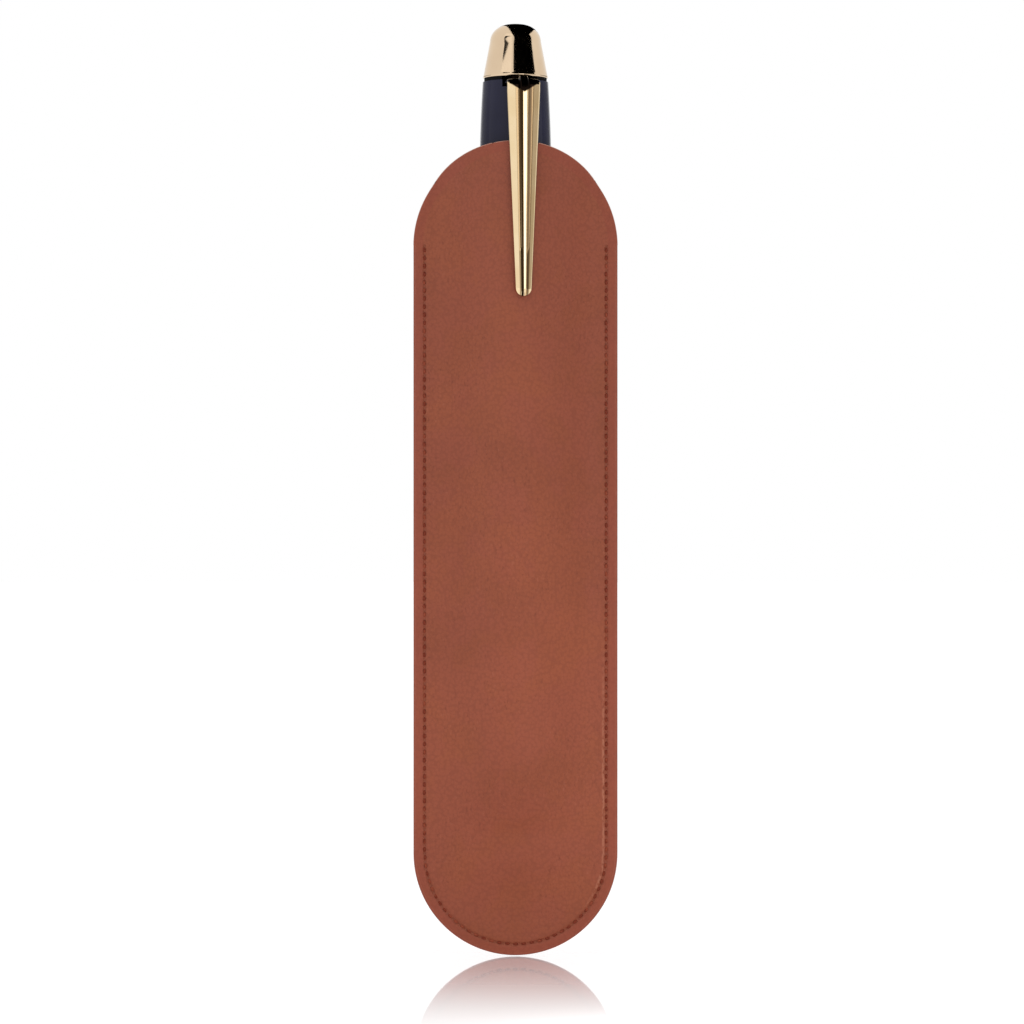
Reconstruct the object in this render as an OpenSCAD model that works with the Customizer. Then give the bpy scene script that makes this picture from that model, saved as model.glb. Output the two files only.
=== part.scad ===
// A flat leather pen sleeve, sewn along both sides and round its foot, with a twist pen standing in its mouth.
// Z runs up the sleeve, the front faces -Y, and the origin is the lowest point of the rounded foot.

/* [Sleeve] */
// Width over the painted edges
sleeve_w = 38; // [37:0.5:60]
// Height from the foot to the top of the mouth
sleeve_h = 151; // [145:1:165]
// Thickness of the leather
leather_t = 1; // [0.6:0.1:2]
// Thickness of the lining
lining_t = 0.35; // [0.2:0.05:0.8]
// Thickness of a glue line
glue_t = 0.05; // [0.02:0.01:0.1]
// Width of the bonded border inside the edge
border_w = 3.7; // [3.2:0.1:5]
// Thickness of the edge paint
paint_t = 0.15; // [0.1:0.05:0.3]

/* [Stitching] */
// Distance of the seam from the edge
seam_inset = 2.1; // [1.6:0.1:2.6]
// Length of one stitch
stitch_pitch = 1.5; // [1.2:0.1:3.5]
// Width of the thread
thread_w = 0.45; // [0.3:0.05:0.6]
// Height of the thread above the leather
thread_h = 0.25; // [0.15:0.05:0.4]

/* [Pen] */
// Length with the point drawn in
pen_len = 140; // [132:1:148]
// Largest diameter
pen_d = 13.4; // [13:0.1:15]
// Gap between the pen and the lining
pen_gap = 0.45; // [0.4:0.05:1]
// Height of the crown's lower edge above the mouth
stand_out = 12.2; // [8:0.1:20]
// Turn of the pen in the sleeve
pen_turn = 9; // [0:1:20]
// Height of the crown
crown_h = 10.1; // [8:0.1:13]
// Diameter of the crown's lower edge
crown_d = 12.1; // [11.8:0.1:12.8]
// Diameter of the crown where its rounded top begins
crown_top_d = 9.5; // [8:0.1:11]
// Height of the crown's rounded top
crown_round = 3.2; // [1:0.1:5]
// Length of the upper barrel
upper_len = 59.8; // [55:0.1:64]
// Length of the upper barrel's drawn-in shoulder
shoulder_len = 20; // [10:1:35]
// Height of the centre ring
ring_h = 3; // [2:0.1:6]
// How far the centre ring stands proud of the barrel
ring_proud = 0.2; // [0.1:0.05:0.3]
// Length of the nose cone
nose_len = 20; // [18:0.5:24]
// Diameter of the nose cone at the lower barrel
nose_d = 9.6; // [9.2:0.1:11]
// Diameter of the nose cone at its tip
nose_tip_d = 3; // [2.8:0.1:4]

/* [Clip] */
// Length of the blade
clip_len = 40.4; // [30:0.1:50]
// Width at the root
clip_w = 6.1; // [4:0.1:6.5]
// Width at the tip
clip_tip_w = 3; // [2:0.1:4]
// Thickness of the blade
clip_t = 1.2; // [0.8:0.1:1.6]
// Gap between the clip's pad and the leather
clip_gap = 0.35; // [0.3:0.05:1]
// Height of the pad under the blade's tip
pad_h = 0.3; // [0.1:0.05:0.6]
// Height of the ridge along the blade
ridge_h = 0.4; // [0.2:0.05:0.8]

/* [Mechanism] */
// Travel of the point in half a turn
point_travel = 5; // [3:0.5:5.5]
// Running clearance at the radius
run_gap = 0.05; // [0.03:0.01:0.09]
// Clearance of parts that pass without guiding
free_gap = 0.3; // [0.2:0.05:0.4]
// Diameter of the refill
refill_d = 5.9; // [5.5:0.1:6.1]
// Length of the refill with its point
refill_len = 98; // [94:0.5:102]
// Diameter of the refill's point
point_d = 2.3; // [2:0.1:2.4]
// Diameter of the refill's stem inside the spring
stem_d = 3.2; // [2.8:0.1:3.4]
// Depth of the drawn-in point inside the nose cone
point_recess = 1.5; // [0.5:0.1:2.5]
// Diameter of the plunger's lug
lug_d = 1.8; // [1.4:0.1:2]
// Wall of the upper barrel at its mouth
barrel_wall = 0.8; // [0.6:0.1:1]

/* [Spring] */
// Diameter of the spring's wire
wire_d = 0.5; // [0.3:0.05:0.6]
// Turns of the spring
spring_turns = 8; // [5:1:9]

/* [Hidden] */
$fn = 64;

// Finishes
leather_colour = [0.57, 0.31, 0.24];
lining_colour = [0.30, 0.17, 0.13];
paint_colour = [0.50, 0.26, 0.21];
thread_colour = [0.36, 0.14, 0.09];
gold_colour = [0.86, 0.73, 0.55];
lacquer_colour = [0.10, 0.10, 0.14];
steel_colour = [0.70, 0.70, 0.72];
brass_colour = [0.75, 0.62, 0.35];
nylon_colour = [0.90, 0.88, 0.82];

// Outline of the sleeve
edge_r = sleeve_w / 2;
panel_r = edge_r - paint_t;
pocket_r = edge_r - border_w;
top_c = sleeve_h - edge_r;

// Levels of the layers, counted outwards from the plane between the two halves
lining_in = glue_t / 2;
leather_in = lining_in + lining_t + glue_t;
leather_out = leather_in + leather_t;

// Levels along the pen, counted upwards from the tip of its nose cone
barrel_r = pen_d / 2;
crown_r = crown_d / 2;
nose_r = nose_d / 2;
tip_r = nose_tip_d / 2;
turn_gap = 0.1;
crown_z = pen_len - crown_h;
upper_z = crown_z - upper_len;
ring_top = upper_z - turn_gap;
ring_z = ring_top - ring_h;
pen_z = sleeve_h + stand_out - crown_z;

// Clip
tang_t = 1;
tang_top = crown_z - 0.6;
tang_z = tang_top - tang_t;
tang_in = 3.4;
notch_z = tang_z - 0.4;
clip_side_gap = 0.25;
bend_r = 1.5;
blade_in = barrel_r + pen_gap + leather_out + clip_gap + pad_h;
blade_out = blade_in + clip_t;
tip_z = tang_top - clip_len;
ridge_w = 1.3;

// Depth to which the pen can still be pushed, until the clip's tang nearly meets the mouth
push_gap = 0.6;
push_depth = stand_out - (crown_z - tang_z) - push_gap;

// Mechanism
refill_r = refill_d / 2;
point_r = point_d / 2;
stem_r = stem_d / 2;
refill_top = point_recess + refill_len;
ledge_z = nose_len * 0.45;
stem_z = ledge_z + point_travel + 0.5;
refill_shoulder = nose_len + 4;
spring_bore = 2.75;
refill_bore = refill_r + 0.15;
spigot_len = 7;
spigot_r = nose_r - 0.9;
barrel_bore = refill_r + 1.1;
collar_bore = refill_r + free_gap;
collar_tube_r = collar_bore + 0.7;
collar_flange_r = barrel_r - 1.35;
collar_len = 12;
plunger_r = collar_bore - run_gap;
plunger_len = 6;
lug_r = lug_d / 2;
lug_z = refill_top + plunger_len / 2;
lug_reach = collar_tube_r + 0.9;
cam_bore = collar_tube_r + run_gap;
cam_r = barrel_r - barrel_wall - run_gap;
cam_z = upper_z + 0.5;
cam_top = lug_z + lug_r + 3;
cam_groove_r = lug_r + 0.15;
cam_steps = 18;
plug_r = crown_r - barrel_wall - run_gap;
plug_len = 7;
plug_top = notch_z - 0.1;
stud_r = 2.4;
stud_top = crown_z + crown_h - crown_round - 0.3;
spring_r = stem_r + 0.25 + wire_d / 2;

// Eases from 0 to 1 along a quarter of a sine
function rise(t) = sin(90 * max(0, min(1, t)));

// Radius of the nose cone and lower barrel at a level of the pen
function nose_radius(z) = tip_r + (nose_r - tip_r) * rise(z / nose_len);
function lower_radius(z) = nose_r + (barrel_r - nose_r) * rise((z - nose_len) / (ring_z - nose_len));
function pen_radius(z) = z < nose_len ? nose_radius(z) : lower_radius(z);

// Radius of the upper barrel a distance under the crown
function upper_radius(d) = barrel_r - (barrel_r - crown_r) * pow(max(0, 1 - d / shoulder_len), 2);

// Half the depth that the pocket needs at a height, with the pen pushed right in
pushed_z = pen_z - push_depth;
function pocket_depth(z) =
    z > pushed_z ? pen_radius(z - pushed_z) + pen_gap
    : (tip_r + pen_gap) * max(0, z - border_w) / (pushed_z - border_w);

// Swell of a panel at a point of its face: flat on the border, and round the pen in the middle
function across(x, z) = min(1, norm([x, max(0, edge_r - z)]) / pocket_r);
function swell(x, z) =
    let (h = pocket_depth(z), soft = h * (1 + cos(180 * across(x, z))) / 2)
    max(soft, sqrt(max(0, h * h - x * x - pow(max(0, edge_r - z), 2))));

// How much longer a layer is through its thickness where the face slopes
function slant(x, z) =
    let (e = 0.2)
    norm([1, (swell(x + e, z) - swell(x - e, z)) / (2 * e), (swell(x, z + e) - swell(x, z - e)) / (2 * e)]);

// Distance of a layer from the middle plane
function layer_y(x, z, level) = swell(x, z) + lining_in + (level - lining_in) * slant(x, z);

// Rows of the panels' mesh: height and half width
arc_n = 8;
run_n = 16;
col_n = 16;
tip_a = 4;
function arc_angle(i) = tip_a + (90 - tip_a) * i / arc_n;
rows = concat(
    [for (i = [0:arc_n]) [edge_r - panel_r * cos(arc_angle(i)), panel_r * sin(arc_angle(i))]],
    [for (i = [1:run_n - 1]) [edge_r + (top_c - edge_r) * i / run_n, panel_r]],
    [for (i = [arc_n:-1:0]) [top_c + panel_r * cos(arc_angle(i)), panel_r * sin(arc_angle(i))]]);

// A quad as two triangles
function quad(a, b, c, d) = [[a, b, c], [a, c, d]];

// A layer of the front half between two levels
module layer(inner, outer) {
    last = len(rows) - 1;
    size = len(rows) * (col_n + 1);
    function at(k, i, j) = k * size + i * (col_n + 1) + j;
    points = [for (level = [inner, outer]) for (row = rows) for (j = [0:col_n])
        let (x = row[1] * (2 * j / col_n - 1))
        [x, -layer_y(x, row[0], level), row[0]]];
    faces = concat(
        [for (i = [0:last - 1]) for (j = [0:col_n - 1])
            each quad(at(1, i, j), at(1, i + 1, j), at(1, i + 1, j + 1), at(1, i, j + 1))],
        [for (i = [0:last - 1]) for (j = [0:col_n - 1])
            each quad(at(0, i, j), at(0, i, j + 1), at(0, i + 1, j + 1), at(0, i + 1, j))],
        [for (i = [0:last - 1]) each quad(at(0, i, 0), at(0, i + 1, 0), at(1, i + 1, 0), at(1, i, 0))],
        [for (i = [0:last - 1])
            each quad(at(1, i, col_n), at(1, i + 1, col_n), at(0, i + 1, col_n), at(0, i, col_n))],
        [for (j = [0:col_n - 1]) each quad(at(0, 0, j), at(1, 0, j), at(1, 0, j + 1), at(0, 0, j + 1))],
        [for (j = [0:col_n - 1])
            each quad(at(0, last, j), at(0, last, j + 1), at(1, last, j + 1), at(1, last, j))]);
    polyhedron(points = points, faces = faces);
}

// Turns a shape of the front half into its twin at the back
module at_back() {
    mirror([0, 1, 0]) children();
}

module front_panel() {
    color(leather_colour) layer(leather_in, leather_out);
}

module back_panel() {
    color(leather_colour) at_back() layer(leather_in, leather_out);
}

module front_lining() {
    color(lining_colour) layer(lining_in, lining_in + lining_t);
}

module back_lining() {
    color(lining_colour) at_back() layer(lining_in, lining_in + lining_t);
}

// The lower outline of the sleeve at a radius, up to where the mouth begins
module foot_outline(r) {
    translate([0, edge_r]) circle(r);
    translate([-r, edge_r]) square([2 * r, top_c - edge_r]);
}

// Paint over the sewn edge, from the mouth's one corner round the foot to the other
module seam_edge() {
    color(paint_colour) rotate([90, 0, 0]) linear_extrude(2 * leather_out, center = true) {
        difference() {
            intersection() {
                foot_outline(edge_r);
                translate([-edge_r, 0]) square([2 * edge_r, top_c]);
            }
            foot_outline(panel_r);
        }
    }
}

// Paint over the free edge of the front half's mouth
module lip_edge() {
    angles = concat([for (i = [arc_n:-1:0]) 90 - arc_angle(i)], [for (i = [0:arc_n]) 90 + arc_angle(i)]);
    last = len(angles) - 1;
    points = [for (a = angles)
        let (x = panel_r * cos(a), z = top_c + panel_r * sin(a), dx = paint_t * cos(a), dz = paint_t * sin(a))
        let (y0 = -layer_y(x, z, lining_in), y1 = -layer_y(x, z, leather_out))
        each [[x, y0, z], [x, y1, z], [x + dx, y1, z + dz], [x + dx, y0, z + dz]]];
    faces = concat(
        [for (i = [0:last - 1]) for (k = [0:3])
            each quad(4 * i + k, 4 * i + (k + 1) % 4, 4 * i + 4 + (k + 1) % 4, 4 * i + 4 + k)],
        quad(3, 2, 1, 0),
        quad(4 * last, 4 * last + 1, 4 * last + 2, 4 * last + 3));
    polyhedron(points = points, faces = faces);
}

module front_lip_edge() {
    color(paint_colour) lip_edge();
}

module back_lip_edge() {
    color(paint_colour) at_back() lip_edge();
}

// Seam: stitches of equal length on the straight sides and round the foot
seam_r = edge_r - seam_inset;
run_len = top_c - edge_r;
run_stitches = round(run_len / stitch_pitch);
run_pitch = run_len / run_stitches;
foot_stitches = round(PI * seam_r / stitch_pitch);
foot_angle = 180 / foot_stitches;
foot_pitch = 2 * seam_r * sin(foot_angle / 2);
thread_sink = 0.1;
hole_w = thread_w * 0.7;

// Thread of a straight row of stitches along X, with its face side up along Y and a leg down each hole
module stitches(count, pitch) {
    low = leather_out - thread_sink;
    over = [for (i = [0:count - 1]) each [
        [i * pitch, leather_out],
        [(i + 0.25) * pitch, leather_out + thread_h],
        [(i + 0.75) * pitch, leather_out + thread_h]]];
    under = [for (i = [count - 1:-1:0]) each [
        [(i + 1) * pitch - hole_w / 2, lining_in],
        [(i + 1) * pitch - hole_w / 2, low],
        [i * pitch + hole_w / 2, low],
        [i * pitch + hole_w / 2, lining_in]]];
    translate([0, 0, -thread_w / 2]) linear_extrude(thread_w) polygon(concat(
        [[-hole_w / 2, lining_in], [-hole_w / 2, leather_out]], over,
        [[count * pitch, leather_out], [count * pitch + hole_w / 2, leather_out],
         [count * pitch + hole_w / 2, lining_in]], under));
}

// Lays a row of stitches on the front face, from a point of the seam and in a direction
module lay(x, z, angle) {
    translate([x, 0, z]) rotate([0, -angle, 0]) rotate([180, 0, 0]) children();
}

// One thread, from the mouth's one corner round the foot to the other
module seam_thread() {
    for (side = [-1, 1])
        lay(side * seam_r, edge_r, 90) stitches(run_stitches, run_pitch);
    for (i = [0:foot_stitches - 1])
        let (a = 180 + i * foot_angle)
        lay(seam_r * cos(a), edge_r + seam_r * sin(a), a + 90 + foot_angle / 2) stitches(1, foot_pitch);
}

module needle_thread() {
    color(thread_colour) seam_thread();
}

module bobbin_thread() {
    color(thread_colour) at_back() seam_thread();
}

// Puts the pen, modelled on its own axis from its tip upwards, in its place in the sleeve
module in_sleeve() {
    translate([0, 0, pen_z]) rotate([0, 0, pen_turn]) children();
}

// A solid of revolution from a list of radius and level
module turned(profile) {
    rotate_extrude() polygon(profile);
}

// A plain bore
module bore(r, from, to) {
    translate([0, 0, from]) cylinder(r = r, h = to - from);
}

module crown() {
    round_r = crown_top_d / 2;
    flat_r = 1;
    round_z = pen_len - crown_round;
    profile = concat([[0, crown_z], [crown_r, crown_z]],
        [for (a = [0:15:90]) [flat_r + (round_r - flat_r) * cos(a), round_z + crown_round * sin(a)]],
        [[0, pen_len]]);
    color(gold_colour) in_sleeve() difference() {
        turned(profile);
        bore(stud_r + run_gap, crown_z - 1, stud_top + 0.3);
    }
}

// Plug in the barrel's mouth whose stud holds the crown
module crown_stud() {
    color(brass_colour) in_sleeve() {
        bore(plug_r, plug_top - plug_len, plug_top);
        bore(stud_r, plug_top - 1, stud_top);
    }
}

module upper_barrel() {
    steps = 10;
    profile = concat(
        [for (i = [0:steps]) [upper_radius(shoulder_len * i / steps), crown_z - shoulder_len * i / steps]],
        [[barrel_r, upper_z], [cam_r + run_gap, upper_z], [cam_r + run_gap, cam_top + 0.5],
         [plug_r + run_gap, cam_top + 1], [plug_r + run_gap, crown_z]]);
    notch_w = clip_w + 2 * clip_side_gap;
    color(lacquer_colour) in_sleeve() difference() {
        turned(profile);
        translate([-notch_w / 2, -barrel_r - 1, notch_z]) cube([notch_w, barrel_r - 3, pen_len]);
    }
}

// Tube in the upper barrel whose helical groove drives the lug
module cam_tube() {
    color(nylon_colour) in_sleeve() difference() {
        bore(cam_r, cam_z, cam_top);
        bore(cam_bore, cam_z - 1, cam_top + 1);
        for (i = [0:cam_steps])
            rotate([0, 0, 180 * i / cam_steps])
                translate([0, 0, lug_z - point_travel * i / cam_steps])
                    rotate([0, 90, 0]) cylinder(r = cam_groove_r, h = lug_reach + run_gap);
    }
}

// The clip is cut from one side profile and one front outline, with a ridge along its face and a pad under its tip
module clip() {
    side = concat(
        [[tang_in, tang_z], [blade_in, tang_z], [blade_in, tip_z], [blade_out - 0.5, tip_z], [blade_out, tip_z + 1]],
        [for (a = [0:15:90]) [blade_out - bend_r + bend_r * cos(a), tang_top - bend_r + bend_r * sin(a)]],
        [[tang_in, tang_top]]);
    pad_r = 1;
    color(gold_colour) in_sleeve() {
        intersection() {
            rotate([90, 0, -90]) linear_extrude(clip_w, center = true) polygon(side);
            rotate([90, 0, 0]) linear_extrude(blade_out + 1) clip_face();
        }
        translate([0, -blade_out, tip_z + clip_tip_w / 2]) linear_extrude(tang_top - bend_r - tip_z - clip_tip_w / 2)
            polygon([[-ridge_w / 2, 0.1], [0, -ridge_h], [ridge_w / 2, 0.1]]);
        translate([0, 0, tip_z + clip_tip_w / 2]) intersection() {
            translate([0, pad_h - pad_r - blade_in, 0])
                rotate([0, 90, 0]) cylinder(r = pad_r, h = clip_tip_w * 0.7, center = true);
            translate([-clip_tip_w, -blade_in - clip_t / 2, -pad_r])
                cube([2 * clip_tip_w, clip_t / 2 + pad_h, 2 * pad_r]);
        }
    }
}

// The clip seen from the front
module clip_face() {
    r = clip_tip_w / 2;
    translate([0, tip_z + r]) circle(r);
    polygon([[-r, tip_z + r], [r, tip_z + r], [clip_w / 2, tang_z - bend_r], [clip_w / 2, tang_top + 1],
             [-clip_w / 2, tang_top + 1], [-clip_w / 2, tang_z - bend_r]]);
}

// Ring between the two barrels, on the collar tube's flange
module centre_ring() {
    profile = [[collar_flange_r, ring_z], [barrel_r + ring_proud / 2, ring_z], [barrel_r + ring_proud, ring_z + 0.3],
               [barrel_r + ring_proud, ring_top - 0.3], [barrel_r + ring_proud / 2, ring_top],
               [collar_flange_r, ring_top]];
    color(gold_colour) in_sleeve() turned(profile);
}

// Tube fixed in the lower barrel, whose slot keeps the lug from turning
module collar_tube() {
    slot_w = lug_d + 2 * run_gap;
    slot_z = lug_z - point_travel - lug_r - free_gap;
    top = lug_z + lug_r + free_gap + 1;
    color(brass_colour) in_sleeve() difference() {
        union() {
            bore(collar_flange_r, ring_top - collar_len, ring_top);
            bore(collar_tube_r, ring_top - 1, top);
        }
        bore(collar_bore, ring_top - collar_len - 1, top + 1);
        translate([0, -slot_w / 2, slot_z]) cube([barrel_r, slot_w, top]);
    }
}

module lower_barrel() {
    steps = 12;
    collar_z = ring_top - collar_len;
    profile = concat(
        [for (i = [0:steps]) let (z = nose_len + (ring_z - nose_len) * i / steps) [lower_radius(z), z]],
        [[collar_flange_r, ring_z], [collar_flange_r, collar_z], [barrel_bore, collar_z],
         [barrel_bore, nose_len + spigot_len + 0.5], [spigot_r + run_gap, nose_len + spigot_len + 0.5],
         [spigot_r + run_gap, nose_len]]);
    color(lacquer_colour) in_sleeve() turned(profile);
}

// Nose cone with a spigot in the lower barrel, a ledge for the spring and a guide for the point
module nose_cone() {
    steps = 10;
    bore_z = nose_len - 3;
    profile = concat(
        [for (i = [0:steps]) let (z = nose_len * i / steps) [nose_radius(z), z]],
        [[spigot_r, nose_len], [spigot_r, nose_len + spigot_len], [refill_bore, nose_len + spigot_len],
         [refill_bore, bore_z], [spring_bore, bore_z], [spring_bore, ledge_z],
         [point_r + run_gap, ledge_z], [point_r + run_gap, 0]]);
    color(gold_colour) in_sleeve() turned(profile);
}

// Spring round the refill's stem, one unbroken helix from the nose cone's ledge to the refill's shoulder
spring_rings = 8;
spring_sides = 6;
spring_low = ledge_z + wire_d / 2 + run_gap;
spring_rise = refill_shoulder - ledge_z - wire_d - 2 * run_gap;
spring_last = spring_turns * spring_rings;
function spring_point(i, side) =
    let (turn = 360 * i / spring_rings, a = 360 * side / spring_sides, r = spring_r + wire_d / 2 * cos(a))
    [r * cos(turn), r * sin(turn), spring_low + spring_rise * i / spring_last + wire_d / 2 * sin(a)];
spring_least_gap = min([for (i = [0:spring_last - spring_rings]) for (a = [0:spring_sides - 1])
    for (b = [0:spring_sides - 1]) norm(spring_point(i + spring_rings, a) - spring_point(i, b))]);
echo(spring_least_gap = spring_least_gap);

module spring() {
    points = [for (i = [0:spring_last]) for (k = [0:spring_sides - 1]) spring_point(i, k)];
    faces = concat(
        [for (i = [0:spring_last - 1]) for (k = [0:spring_sides - 1]) let (n = (k + 1) % spring_sides)
            each quad(i * spring_sides + k, i * spring_sides + n,
                      (i + 1) * spring_sides + n, (i + 1) * spring_sides + k)],
        [for (k = [1:spring_sides - 2]) [0, k + 1, k]],
        [for (k = [1:spring_sides - 2]) let (n = spring_last * spring_sides) [n, n + k, n + k + 1]]);
    color(steel_colour) in_sleeve() polyhedron(points = points, faces = faces);
}

// Pusher behind the refill, with the lug that rides in the slot and in the groove
module plunger() {
    color(nylon_colour) in_sleeve() {
        bore(plunger_r, refill_top, refill_top + plunger_len);
        translate([0, 0, lug_z]) rotate([0, 90, 0]) cylinder(r = lug_r, h = lug_reach);
    }
}

module refill_body() {
    profile = [[0, stem_z], [stem_r, stem_z], [stem_r, refill_shoulder], [refill_r, refill_shoulder],
               [refill_r, refill_top], [0, refill_top]];
    color(steel_colour) in_sleeve() turned(profile);
}

module refill_point() {
    ball_r = 0.45;
    profile = [[0, point_recess], [ball_r, point_recess + 0.2], [point_r, point_recess + 2.2], [point_r, stem_z],
               [0, stem_z]];
    color(brass_colour) in_sleeve() turned(profile);
}

front_panel();
back_panel();
front_lining();
back_lining();
seam_edge();
front_lip_edge();
back_lip_edge();
needle_thread();
bobbin_thread();
crown();
crown_stud();
upper_barrel();
cam_tube();
clip();
centre_ring();
collar_tube();
lower_barrel();
nose_cone();
spring();
plunger();
refill_body();
refill_point();
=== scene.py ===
# %% [markdown]
# # A leather pen sleeve with a twist pen in its mouth
#
# The sleeve is two flat halves of leather, each with a thin lining, sewn together along both sides and round
# the foot. A pen stands in the mouth and hangs on its clip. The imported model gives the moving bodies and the
# sizes. This script puts finely shaped and finished pieces round it.

import math

import bmesh
import bpy
from mathutils import Matrix, Vector


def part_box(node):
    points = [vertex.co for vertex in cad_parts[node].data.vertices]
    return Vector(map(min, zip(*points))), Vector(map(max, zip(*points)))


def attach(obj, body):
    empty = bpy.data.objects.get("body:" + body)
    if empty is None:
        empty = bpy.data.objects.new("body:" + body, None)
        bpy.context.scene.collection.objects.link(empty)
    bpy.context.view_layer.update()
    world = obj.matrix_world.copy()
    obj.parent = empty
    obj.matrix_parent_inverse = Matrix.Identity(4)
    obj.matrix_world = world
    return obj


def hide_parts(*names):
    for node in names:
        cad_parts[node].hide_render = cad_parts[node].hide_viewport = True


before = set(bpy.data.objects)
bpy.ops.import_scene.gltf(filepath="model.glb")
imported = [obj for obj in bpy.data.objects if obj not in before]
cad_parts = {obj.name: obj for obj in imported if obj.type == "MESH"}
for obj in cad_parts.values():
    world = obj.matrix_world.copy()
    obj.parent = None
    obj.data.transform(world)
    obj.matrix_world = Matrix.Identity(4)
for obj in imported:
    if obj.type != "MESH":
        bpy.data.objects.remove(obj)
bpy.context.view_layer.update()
mm = 0.001

# %% [markdown]
# ## Sizes
#
# The pieces have to sit where the solids are, so the main sizes are read from the solids' boxes. What a box
# can't tell, such as the distance of the seam from the edge, is repeated here in real sizes.

# %% Sizes of the sleeve
seam_low, seam_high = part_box("seam_edge")
edge_r = (seam_high.x - seam_low.x) / 2
mouth_z = seam_high.z
sleeve_top = mouth_z + edge_r
paint_t = 0.15 * mm
panel_r = edge_r - paint_t
border_w = 3.7 * mm
pocket_r = edge_r - border_w
seam_in = 2.1 * mm
seam_r = edge_r - seam_in
# How far each layer's inner face lies in front of the sleeve's middle plane, and each layer's thickness
lining_in = 0.025 * mm
lining_t = 0.35 * mm
leather_in = 0.425 * mm
leather_t = 1 * mm
leather_out = leather_in + leather_t
print(f"sleeve {2 * edge_r / mm:.1f} mm wide and {sleeve_top / mm:.1f} mm high")

# %% Sizes of the pen
crown_low, crown_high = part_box("crown")
barrel_low, barrel_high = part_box("upper_barrel")
ring_low, ring_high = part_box("centre_ring")
pen_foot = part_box("nose_cone")[0].z
nose_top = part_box("lower_barrel")[0].z
crown_r = (crown_high.x - crown_low.x) / 2
barrel_r = (barrel_high.x - barrel_low.x) / 2
nose_r = 4.8 * mm
tip_r = 1.5 * mm
pen_gap = 0.45 * mm
pen_turn = math.radians(9)
push_depth = 10 * mm
print(f"pen from {pen_foot / mm:.1f} to {crown_high.z / mm:.1f} mm, {2 * barrel_r / mm:.1f} mm thick")

# %% [markdown]
# ## Camera
#
# The photograph was taken level, with the lens near half the object's height and from some way off. The
# sleeve is 151 mm high and fills about 812 of the picture's 1024 rows, so the frame is 190.8 mm high where
# the sleeve stands. At 750 mm this is a 142 mm lens on a 36 mm sensor.

# %% Place the camera
view_distance = 750 * mm
frame_height = 190.8 * mm
eye_left = 0.65 * mm
eye_height = 82.5 * mm
upright = (math.radians(90), 0, 0)
bpy.ops.object.camera_add(location=(-eye_left, -view_distance, eye_height), rotation=upright)
camera = bpy.context.object
camera.name = "camera"
camera.data.sensor_width = 36
camera.data.lens = camera.data.sensor_width * view_distance / frame_height
camera.data.clip_start = 1 * mm
bpy.context.scene.camera = camera
print(f"lens {camera.data.lens:.1f} mm")

# %% [markdown]
# ## Tools for modelling by hand
#
# An operator works on what is selected. So each shaping step first selects vertices, edges or faces by their
# place, and then calls the operator, as one would do with the mouse.

# %% Select by place
def begin():
    """Leaves nothing selected, so that the next operator touches only its own piece."""
    if bpy.context.object and bpy.context.object.mode == "EDIT":
        mode("OBJECT")
    bpy.ops.object.select_all(action="DESELECT")


def mode(name):
    """Opens the active piece for editing, or closes it again."""
    bpy.ops.object.mode_set(mode=name)


def pick_items(test, kind):
    """Selects the vertices, edges or faces of the piece in edit mode that pass a test, and counts them."""
    mesh = bmesh.from_edit_mesh(bpy.context.object.data)
    mesh.verts.index_update()
    mesh.select_mode = {{"verts": "VERT", "edges": "EDGE", "faces": "FACE"}[kind]}
    bpy.context.tool_settings.mesh_select_mode = (kind == "verts", kind == "edges", kind == "faces")
    for item in [*mesh.verts, *mesh.edges, *mesh.faces]:
        item.select = False
    chosen = [item for item in getattr(mesh, kind) if test(item)]
    for item in chosen:
        item.select_set(True)
    mesh.select_flush_mode()
    bmesh.update_edit_mesh(bpy.context.object.data)
    return len(chosen)


def middle(item):
    """The place of a vertex, or the middle of an edge or a face."""
    if isinstance(item, bmesh.types.BMVert):
        return item.co
    if isinstance(item, bmesh.types.BMEdge):
        return (item.verts[0].co + item.verts[1].co) / 2
    return item.calc_center_median()


def pick(test=lambda place: True, kind="verts"):
    """Selects the vertices, edges or faces whose middle passes a test of its place."""
    return pick_items(lambda item: test(middle(item)), kind)


# %% Start a piece
def place_in_mesh(piece):
    """Puts the object's own place, turn and scale into its mesh."""
    piece.data.transform(piece.matrix_world)
    piece.matrix_world = Matrix.Identity(4)


def circle(name, **settings):
    """Adds a circle, all of it selected, with its place and turn in its mesh."""
    begin()
    bpy.ops.mesh.primitive_circle_add(**settings)
    piece = bpy.context.object
    piece.name = name
    place_in_mesh(piece)
    return piece


def copy_of(original, name):
    """A copy with a mesh of its own, which alone is selected."""
    begin()
    twin = original.copy()
    twin.data = original.data.copy()
    twin.name = name
    bpy.context.scene.collection.objects.link(twin)
    twin.select_set(True)
    bpy.context.view_layer.objects.active = twin
    return twin


# %% Shape and finish a piece
def extrude(x, y, z):
    """Extrudes what is selected and moves the new part."""
    bpy.ops.mesh.extrude_region_move(TRANSFORM_OT_translate={"value": (x, y, z)})


def close_up(distance=1e-7):
    """Merges doubles and turns every face outwards."""
    pick()
    bpy.ops.mesh.remove_doubles(threshold=distance)
    bpy.ops.mesh.normals_make_consistent(inside=False)


def apply_modifier(piece, kind, **settings):
    """Adds one modifier and applies it at once."""
    bpy.context.view_layer.objects.active = piece
    modifier = piece.modifiers.new(kind.lower(), kind)
    for name, value in settings.items():
        setattr(modifier, name, value)
    bpy.ops.object.modifier_apply(modifier=modifier.name)


def report(piece):
    """Prints what was made."""
    corners = [v.co for v in piece.data.vertices]
    size = [(max(c[i] for c in corners) - min(c[i] for c in corners)) / mm for i in range(3)]
    print(f"{piece.name}: {len(piece.data.polygons)} faces, " + " x ".join(f"{s:.2f}" for s in size) + " mm")


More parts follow.
